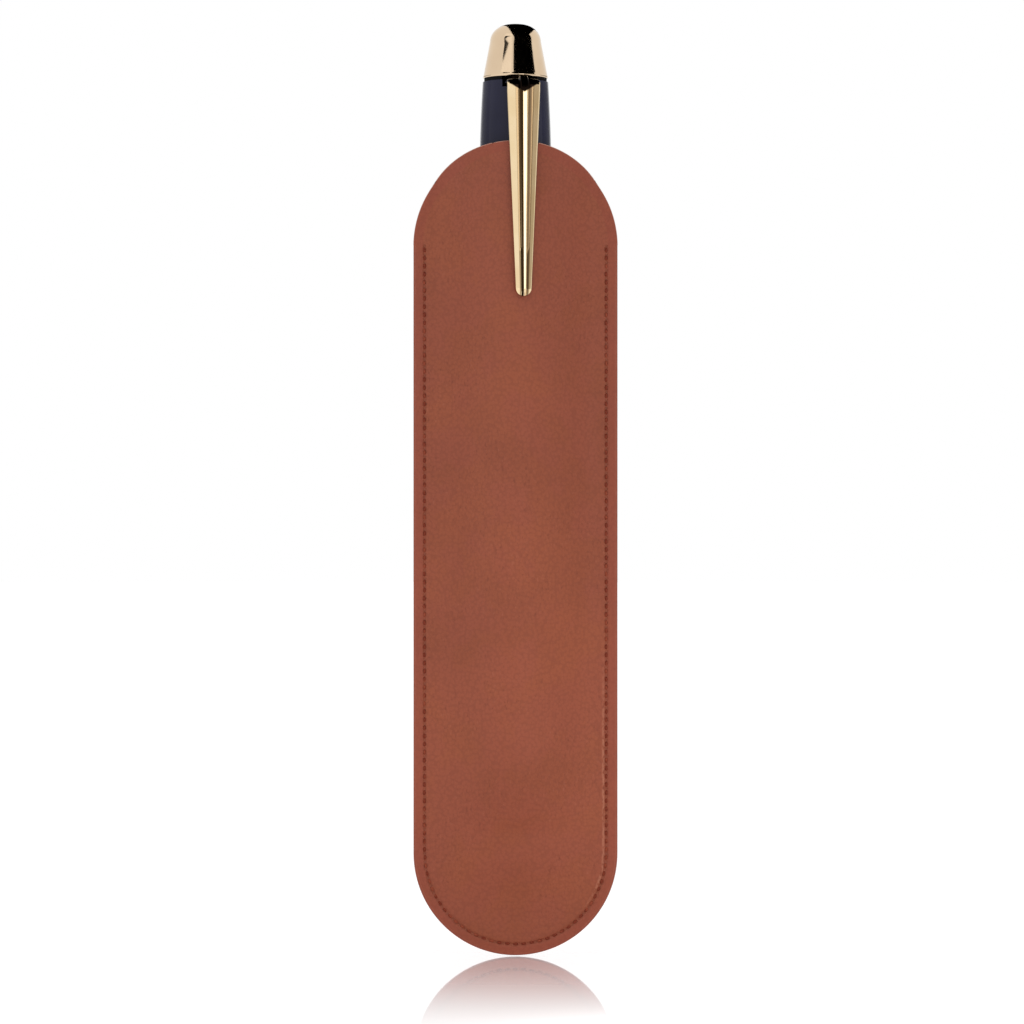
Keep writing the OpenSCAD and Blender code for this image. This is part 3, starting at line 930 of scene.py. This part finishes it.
# %% A finish
class Finish:
    """A material with one Principled shader."""

    def __init__(self, name, **fixed):
        """Takes the values of sockets that stay the same all over, with _ for a space."""
        self.material = bpy.data.materials.new(name)
        self.material.use_nodes = True
        self.tree = self.material.node_tree
        self.shader = self.tree.nodes["Principled BSDF"]
        for socket, value in fixed.items():
            self.shader.inputs[socket.replace("_", " ")].default_value = value
        self.place = self.node("ShaderNodeTexCoord").outputs["Object"]
        axes = self.node("ShaderNodeSeparateXYZ", {}, {0: self.place})
        self.x, self.y, self.z = (Amount(self, axes.outputs[i]) for i in range(3))

    def node(self, kind, settings=None, inputs=None):
        """Any node: its settings first, then the values or links of its sockets."""
        made = self.tree.nodes.new(kind)
        for name, value in (settings or {}).items():
            setattr(made, name, value)
        for name, value in (inputs or {}).items():
            value = value.socket if isinstance(value, Amount) else value
            if isinstance(value, bpy.types.NodeSocket):
                self.tree.links.new(value, made.inputs[name])
            else:
                made.inputs[name].default_value = value
        return made

    def number(self, kind, settings, inputs):
        """The first output of a new node, as a number on the surface."""
        return Amount(self, self.node(kind, settings, inputs).outputs[0])

    def noise(self, grain, detail=2.0, stretch=(1, 1, 1), rough=0.5):
        """Soft noise from 0 to 1, whose grain is given in metres."""
        where = self.node("ShaderNodeMapping", {}, {"Vector": self.place, "Scale": stretch})
        return self.number("ShaderNodeTexNoise", {}, {"Vector": where.outputs[0], "Scale": 1 / grain,
                                                      "Detail": detail, "Roughness": rough})

    def cells(self, grain):
        """Distance to the middle of the nearest cell, from 0 to about 1."""
        return self.number("ShaderNodeTexVoronoi", {},
                           {"Vector": self.place, "Scale": 1 / grain, "Randomness": 0.9})

    def blend(self, share, first, second):
        """A colour between two colours, where a share of 0 is the first."""
        mix = self.node("ShaderNodeMix", {"data_type": "RGBA"}, {0: share, 6: first, 7: second})
        return mix.outputs[2]

    def drift(self, noise, dark, light):
        """Sets a base colour that drifts from dark to light with a noise."""
        self.set("Base Color", self.blend(noise.fade(0.3, 0.7), dark, light))

    def set(self, socket, value):
        """Links a number or a colour to a socket of the shader."""
        value = value.socket if isinstance(value, Amount) else value
        self.tree.links.new(value, self.shader.inputs[socket])

    def bump(self, height, depth):
        """Raises the surface by a height from 0 to 1, whose full depth is given in metres."""
        made = self.node("ShaderNodeBump", {}, {"Strength": 1.0, "Distance": depth, "Height": height})
        self.set("Normal", made.outputs[0])

    def darken(self, share, dark):
        """Blends a dark colour over the one that is set."""
        socket = self.shader.inputs["Base Color"]
        self.set("Base Color", self.blend(share, socket.links[0].from_socket, dark))

    def cover(self, *pieces):
        """Gives pieces this finish alone."""
        for piece in pieces:
            piece.data.materials.clear()
            piece.data.materials.append(self.material)


def colour(red, green, blue):
    """A colour as one reads it off a screen, from 0 to 255, in the shader's linear units."""
    def linear(c):
        c /= 255
        return c / 12.92 if c <= 0.04045 else ((c + 0.055) / 1.055) ** 2.4
    return (linear(red), linear(green), linear(blue), 1.0)


# %% [markdown]
# ### Leather
#
# The leather is smooth calf in a warm brown. Close up it has a fine pebbled grain, about half a millimetre
# wide, with pores between the pebbles. From arm's length its colour is slightly cloudy. Round each needle
# hole it is drawn down, and painted darker as painted shade. Outside the seam it is redder. A painted
# highlight lies along the border and along the seam's groove, and low on the right a brighter painted
# highlight lies on the rim of the groove. These marks follow the seam, so the shader works out the distance
# from it just as the model does.

# %% Grain of the leather
leather = Finish("calf_leather", IOR=1.45, Specular_IOR_Level=0.32)
cloud = leather.noise(22 * mm, detail=3.0)
patch = leather.noise(8 * mm, detail=3.0)
speck = leather.noise(0.5 * mm, detail=2.0, stretch=(1.3, 1.3, 0.7))
worn = leather.noise(14 * mm, detail=1.0).fade(0.42, 0.6)
pebble = leather.cells(0.62 * mm)
fine = leather.noise(0.28 * mm, detail=2.0)
crease = leather.noise(1.7 * mm, detail=3.0, rough=0.65)
print("grain made with", len(leather.tree.nodes), "nodes")

# %% Where the leather lies from the edge, the seam and the nearest needle hole
beyond = (edge_r - leather.z).most(leather.z - mouth_z).most(0.0)
inside = edge_r - (leather.x * leather.x + beyond * beyond).power(0.5)
side_step = (leather.z - edge_r) / stitch_len
foot_turn = leather.number("ShaderNodeMath", {"operation": "ARCTAN2"}, {0: edge_r - leather.z, 1: leather.x})
foot_step = foot_turn * (foot_stitches / math.pi)
on_side = (leather.z - edge_r).fade(-1e-5, 1e-5)
step = side_step * on_side + foot_step * (1 - on_side)
to_hole = leather.number("ShaderNodeMath", {"operation": "PINGPONG"}, {0: step, 1: 0.5}) * stitch_len
to_seam = (inside - seam_in).size()

# %% Marks of sewing, with painted shade and painted highlights
sewn = (leather.z - mouth_z).fade(0.7 * mm, 0.3 * mm)
# Round each needle hole the bump draws the leather down, and the colour darkens it as painted shade
hole = (to_hole * to_hole + to_seam * to_seam).power(0.5).fade(0.36 * mm, 0.12 * mm) * sewn
# Along the seam's groove the leather is painted lighter, as a painted highlight
groove = to_seam.fade(0.55 * mm, 0.1 * mm) * sewn
# A painted highlight along the border, strongest near the edge
border_highlight = inside.fade(2.6 * mm, 0.3 * mm)
border = inside.fade(2.0 * mm, 1.6 * mm)
# A painted highlight on the rim of the seam's groove, low on the right, broken up by specks
low_right = (leather.x.fade(8 * mm, 14 * mm) * leather.z.fade(62 * mm, 36 * mm)
             * leather.z.fade(7 * mm, 14 * mm))
groove_rim = 2.68 * mm
rim_highlight = (inside - groove_rim).size().fade(0.34 * mm, 0.04 * mm) * low_right * speck.fade(0.36, 0.58)

# %% Colour of the leather
# Each layer of colour covers a share of those before it
tone = leather.blend(cloud.fade(0.35, 0.65), colour(133, 67, 43), colour(142, 73, 47))
# The light border band, the light groove, its light rim and the dark holes below are painted highlights and
# painted shade
for share, layer_colour in ((patch.fade(0.4, 0.6) * 0.5, (140, 70, 51)),
                            (speck.fade(0.6, 0.74) * worn * 0.4, (150, 84, 62)),
                            (speck.fade(0.4, 0.27) * worn * 0.4, (100, 44, 28)),
                            (border_highlight * 0.12, (146, 80, 62)),
                            (pebble.fade(0.35, 0.75) * 0.22, (104, 48, 32)),
                            (border * 0.35, (136, 60, 44)),
                            (rim_highlight * 0.42, (182, 122, 96)),
                            (groove * 0.1, (160, 92, 72)),
                            (hole * 0.12, (90, 34, 20))):
    tone = leather.blend(share, tone, colour(*layer_colour))
leather.set("Base Color", tone)
leather.set("Roughness", 0.56 + (fine - 0.5) * 0.16 + (cloud - 0.5) * 0.14)
leather.bump((1 - pebble) * 0.5 + fine * 0.22 + crease * 0.3 + speck * worn * 0.8 - hole * 1.3, 0.07 * mm)
leather.cover(front_panel, back_panel)
print("leather has", len(leather.tree.nodes), "nodes")

# %% [markdown]
# ### Lining, edge paint and thread
#
# The lining is a thin suede in a darker brown: matt, with a short nap that lies in clouds. The edge paint is
# a smooth coat, glossier than the leather, and the layers under it still show as faint lines. Along the
# mouth its rounded crest is painted light, as a painted highlight. The thread is darker than the leather here
# and there, and its plies make fine slanting lines.

# %% Lining
suede = Finish("lining_suede", Specular_IOR_Level=0.1, Sheen_Weight=0.35, Sheen_Roughness=0.5)
nap = suede.noise(3 * mm, detail=4.0)
fibre = suede.noise(0.16 * mm, detail=2.0)
suede.drift(nap, colour(92, 52, 38), colour(112, 66, 50))
suede.set("Roughness", 0.86 + (fibre - 0.5) * 0.2)
suede.bump(fibre * 0.7 + nap * 0.5, 0.05 * mm)
suede.cover(front_lining, back_lining)

# %% Edge paint
paint = Finish("edge_paint", IOR=1.45)
streak = paint.noise(1.6 * mm, detail=3.0)
dust = paint.noise(0.25 * mm, detail=2.0)
off_middle = paint.y.size()
lining_line = (off_middle - lining_t).size().fade(0.12 * mm, 0.02 * mm)
sewn_edge = (paint.z - mouth_z).fade(0.2 * mm, -0.2 * mm)
layer_line = lining_line.most(off_middle.fade(0.1 * mm, 0.02 * mm)) * sewn_edge
coat = paint.blend(streak.fade(0.35, 0.65), colour(136, 66, 46), colour(146, 75, 54))
lines = paint.blend(layer_line * 0.3, coat, colour(92, 40, 28))
# A painted highlight along the rounded crest of the mouth's bead
up = paint.z - mouth_z
outward = (paint.x * paint.x + up * up).power(0.5) - edge_r
rim_highlight = outward.fade(-0.1 * mm, -0.02 * mm) * up.fade(0.0, 4 * mm)
paint.set("Base Color", paint.blend(rim_highlight * 0.55, lines, colour(196, 152, 134)))
paint.set("Roughness", 0.42 + (streak - 0.5) * 0.2)
paint.bump(streak * 0.5 + dust * 0.2 - layer_line * 0.5, 0.05 * mm)
paint.cover(seam_bead, front_bead, back_bead)

# %% Thread
thread = Finish("tonal_thread", Specular_IOR_Level=0.15)
ply = thread.number("ShaderNodeTexWave", {"wave_type": "BANDS", "bands_direction": "DIAGONAL"},
                    {"Vector": thread.place, "Scale": 380.0, "Distortion": 0.4})
fuzz = thread.noise(0.2 * mm, detail=2.0)
dye = thread.noise(2.4 * mm, detail=1.0)
yarn = thread.blend(fuzz.fade(0.3, 0.7), colour(108, 42, 26), colour(122, 52, 34))
thread.set("Base Color", thread.blend(dye.fade(0.5, 0.62) * 0.75, yarn, colour(140, 68, 47)))
thread.set("Roughness", 0.6 + (fuzz - 0.5) * 0.2)
thread.bump(ply * 0.7 + fuzz * 0.3, 0.05 * mm)
thread.cover(front_thread, back_thread)

# %% [markdown]
# ### Gold plate, lacquer and the parts inside
#
# The gold is a pale plate over polished brass: a mirror with hardly any haze, but never quite even, so its
# roughness drifts and faint wipe marks run round it. On the crown it is painted a shade darker and rosier than
# on the clip, as painted shade. The lacquer is nearly black with a touch of blue, under a clear coat, and just
# under the crown it is painted near-black as painted shade. The solids inside the pen keep their own shape and
# get plain metal and nylon finishes, and the crown's stud is painted dark under the crown as painted shade.

# %% Gold plate
def plated(name, dark, light):
    """Polished plate whose haze drifts a little."""
    made = Finish(name, Metallic=1.0)
    haze = made.noise(6 * mm, detail=3.0)
    wipe = made.noise(0.5 * mm, detail=2.0, stretch=(1, 1, 6))
    made.drift(haze, dark, light)
    made.set("Roughness", 0.09 + (haze - 0.5) * 0.08 + (wipe - 0.5) * 0.04)
    made.bump(haze * 0.5 + wipe * 0.1, 0.01 * mm)
    return made


pale_gold = (colour(235, 209, 165), colour(242, 218, 178))
gold = plated("gold_plate", *pale_gold)
gold.cover(centre_ring, nose)

# %% [markdown]
# The plate is painted dark in places, as painted shade and painted dark reflections. On the clip this is a
# line on each side of the rib and a black hollow at its root, and two softer bands dim bright reflections
# beside the rib. On the crown it is the underside.

# %% Painted shade and painted dark reflections on the clip
# share_out tells how far a point is to the right of the clip's middle, from 0 to 1 at its edge
blade = plated("clip_plate", *pale_gold)
across = blade.x * math.cos(pen_turn) + blade.y * math.sin(pen_turn)
narrowing = (clip_root_w - clip_tip_w) / 2 / (blade_top - straight_end)
half_w = (blade.z - straight_end) * narrowing + clip_tip_w / 2
share_out = across / half_w.least(clip_root_w / 2)
# Colours of the painted shade: dimmed gold, dark lines beside the rib, and black in the hollow at the root
painted_dim_gold, line_brown, line_black, painted_hollow_shade = (168, 142, 106), (84, 58, 34), (60, 44, 24), (24, 16, 12)
blade.darken((share_out + 0.44).size().fade(0.12, 0.05), colour(*painted_dim_gold))
blade.darken((share_out - 0.54).size().fade(0.1, 0.05), colour(*painted_dim_gold))
blade.darken((share_out - 0.4).size().fade(0.13, 0.08) * 0.85, colour(*line_brown))
blade.darken((share_out + 0.2).size().fade(0.14, 0.09), colour(*line_black))
over_tang = blade.z - tang_top
hollow_depth, hollow_rise = 2.9 * mm, 1.9 * mm
hollow = (share_out.size() * hollow_rise - over_tang - hollow_depth).fade(0.15 * mm, -0.15 * mm)
blade.darken(hollow * over_tang.fade(-0.05 * mm, -0.25 * mm), colour(*painted_hollow_shade))
blade.cover(clip)

# %% A darker, rosier plate for the crown, with painted shade on its underside
# A darker copy of the gold, as painted shade, with its underside painted near-black as painted shade
shaded_crown_gold = plated("crown_plate", colour(215, 190, 160), colour(222, 198, 167))
shaded_crown_gold.darken((shaded_crown_gold.z - crown_z).fade(0.07 * mm, 0.03 * mm), colour(30, 20, 12))
shaded_crown_gold.cover(crown)

# %% Lacquer
lacquer = Finish("navy_lacquer", Coat_Roughness=0.03, Coat_IOR=1.4, Specular_IOR_Level=0.1)
depth_tone = lacquer.noise(9 * mm, detail=2.0)
dust = lacquer.noise(0.4 * mm, detail=1.0)
# The neck just under the crown is painted near-black, matt and without its coat, as painted shade
neck = (lacquer.z - neck_low).fade(-0.06 * mm, 0.0)
navy = lacquer.blend(depth_tone.fade(0.3, 0.7), colour(29, 29, 47), colour(33, 33, 53))
lacquer.set("Base Color", lacquer.blend(neck, navy, colour(9, 8, 9)))
lacquer.set("Roughness", 0.22 + (dust - 0.5) * 0.08 + neck * 0.6)
lacquer.set("Coat Weight", (0.25 + (depth_tone - 0.5) * 0.1) * (1 - neck))
lacquer.bump(depth_tone, 0.01 * mm)
lacquer.cover(upper_barrel, lower_barrel)


# %% Metal and nylon of the parts inside
def inner_metal(name, dark, light, rough):
    """Plain turned metal with fine lathe lines round it."""
    made = Finish(name, Metallic=1.0)
    lines = made.noise(0.3 * mm, detail=1.0, stretch=(0.15, 0.15, 4))
    tarnish = made.noise(4 * mm, detail=3.0)
    made.drift(tarnish, dark, light)
    made.set("Roughness", rough + (lines - 0.5) * 0.16)
    made.bump(lines, 0.01 * mm)
    return made


brass = (colour(176, 146, 88), colour(196, 166, 104))
raw_brass = inner_metal("turned_brass", *brass, 0.3)
# The stud is painted near-black at its top, where it shows through the notch under the crown: painted shade
shaded_stud = inner_metal("shaded_stud_brass", *brass, 0.3)
shaded_stud.darken((shaded_stud.z - barrel_top + 2.5 * mm).fade(-0.4 * mm, 0.2 * mm), colour(22, 16, 12))
steel = inner_metal("bright_steel", colour(168, 168, 172), colour(190, 190, 194), 0.25)
nylon = Finish("white_nylon", IOR=1.5, Subsurface_Weight=0.1)
cast = nylon.noise(2 * mm, detail=2.0)
nylon.drift(cast, colour(222, 218, 204), colour(232, 229, 217))
nylon.set("Roughness", 0.45 + (cast - 0.5) * 0.1)
nylon.bump(cast, 0.02 * mm)
for node_name, finish in (("crown_stud", shaded_stud), ("collar_tube", raw_brass), ("refill_point", raw_brass),
                          ("refill_body", steel), ("spring", steel), ("cam_tube", nylon), ("plunger", nylon)):
    finish.cover(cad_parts[node_name])
print(len(bpy.data.materials), "materials")

# %% [markdown]
# ## Floor
#
# The sleeve stands on a white, polished surface that mirrors its foot. The mirror image is strong where the
# foot touches and fades out within a few centimetres, so the floor is a mix of white and a mirror. The
# mirror's share falls off round the foot, and there is none behind the sleeve. The white gives off some light
# of its own, which keeps it as bright as the wall behind. Near the foot this glow is tinted faintly pink, a
# painted reflection of the leather.

# %% Floor
floor = circle("floor", vertices=128, radius=4, fill_type="NGON", location=(0, 0, -0.2 * mm))
white = Finish("polished_white", Base_Color=(0.3, 0.3, 0.3, 1), Roughness=0.6, Emission_Strength=0.75)
away = (white.x * white.x + white.y * white.y).power(0.5)
in_front = white.y.fade(14 * mm, 2 * mm)
near_middle = white.x.size().fade(70 * mm, 35 * mm)
share = away.fade(0.0, 140 * mm, 0.72, 0.0) * in_front * near_middle
# The pink near the foot is a painted reflection of the leather in the floor's glow
pinkish, plain = (1.14, 1, 1, 1), (1, 1, 1, 1)
white.set("Emission Color", white.blend(away.fade(25 * mm, 85 * mm), pinkish, plain))
mirror = white.node("ShaderNodeBsdfGlossy", {}, {"Color": plain, "Roughness": 0.02})
mixed = white.node("ShaderNodeMixShader", {}, {0: share, 1: white.shader.outputs[0], 2: mirror.outputs[0]})
white.tree.links.new(mixed.outputs[0], white.tree.nodes["Material Output"].inputs[0])
white.cover(floor)
print("floor's finish has", len(white.tree.nodes), "nodes")

# %% [markdown]
# ## Light
#
# The picture is lit from all round, as in a light tent, with a small soft light low in front for the foot.
# Polished gold shows what stands round it, so dark and bright cards are hung where the photograph's gold is
# dark or bright. The cards are seen in reflections only: they shade nothing, and the camera looks through
# them.

# %% Tent and low light
world = bpy.data.worlds.new("tent")
bpy.context.scene.world = world
world.use_nodes = True
tent = world.node_tree.nodes["Background"]
tent.inputs["Color"].default_value = (1, 1, 1, 1)
tent.inputs["Strength"].default_value = 1.0
bpy.context.scene.view_settings.view_transform = "Standard"
begin()
light_place, light_aim = Vector((0.03, -0.11, 0.012)), Vector((0, 0, 0.012))
bpy.ops.object.light_add(type="AREA", location=light_place)
low_key = bpy.context.object
low_key.name = "low_key"
low_key.data.size = 0.05
low_key.data.energy = 0.044
low_key.rotation_euler = (light_aim - light_place).to_track_quat("-Z", "Y").to_euler()
low_key.visible_glossy = False
low_key.visible_camera = False
print(f"low light {(light_aim - light_place).length / mm:.0f} mm from the foot")


# %% Hang the cards
def card(name, across, up, shade, tint=(1, 1, 1), top=None, over=False, away_by=1.0):
    """A curved card round the crown, a metre away unless told, which shows in reflections alone.

    Its sides are at two angles to the right of the camera, and its lower and upper edges at two angles up.
    top gives other angles for the sides at the upper edge. A card that goes over the object is told by two
    angles of lean to the right and by how far it goes up and over, with 0 at the camera and 180 behind.
    """
    begin()
    bpy.ops.mesh.primitive_grid_add(x_subdivisions=16, y_subdivisions=16, size=1)
    made = bpy.context.object
    made.name = name
    for vertex in made.data.vertices:
        share_x, share_y = vertex.co.x + 0.5, vertex.co.y + 0.5
        sides = [low + (high - low) * share_y for low, high in zip(across, top or across)]
        right = math.radians(sides[0] + (sides[1] - sides[0]) * share_x)
        raised = math.radians(up[0] + (up[1] - up[0]) * share_y)
        if over:
            out = (math.sin(right) * math.sin(raised), -math.cos(raised), math.cos(right) * math.sin(raised))
        else:
            out = (math.sin(right) * math.cos(raised), -math.cos(right) * math.cos(raised), math.sin(raised))
        vertex.co = Vector((0, 0, crown_z)) + Vector(out) * away_by
    for ray in ("camera", "diffuse", "transmission", "shadow", "volume_scatter"):
        setattr(made, "visible_" + ray, False)
    felt = Finish(name + "_felt", Base_Color=(0, 0, 0, 1), Roughness=1.0, Specular_IOR_Level=0.0,
                  Emission_Color=(*tint, 1), Emission_Strength=shade)
    felt.cover(made)


card("black_card", (-3, 79), (12, 62), 0.0, top=(-20, 79))
card("black_top", (-17, 62), (36, 178), 0.0, top=(-15, 27), over=True)
card("grey_card", (31, 70), (-14, 9), 0.5, (1, 0.92, 0.82))
card("white_strip", (13, 30.5), (-12, 9), 2.2)
card("streak_card", (-55, -16), (12, 48), 1.18)
card("thin_card", (-51, -48), (26.5, 36), 0.03, top=(-46, -16), away_by=0.04)
card("right_flag", (98, 150), (-30, 11), 0.36)
card("left_flag", (-150, -98), (-30, 11), 0.5)
print("light and cards placed")
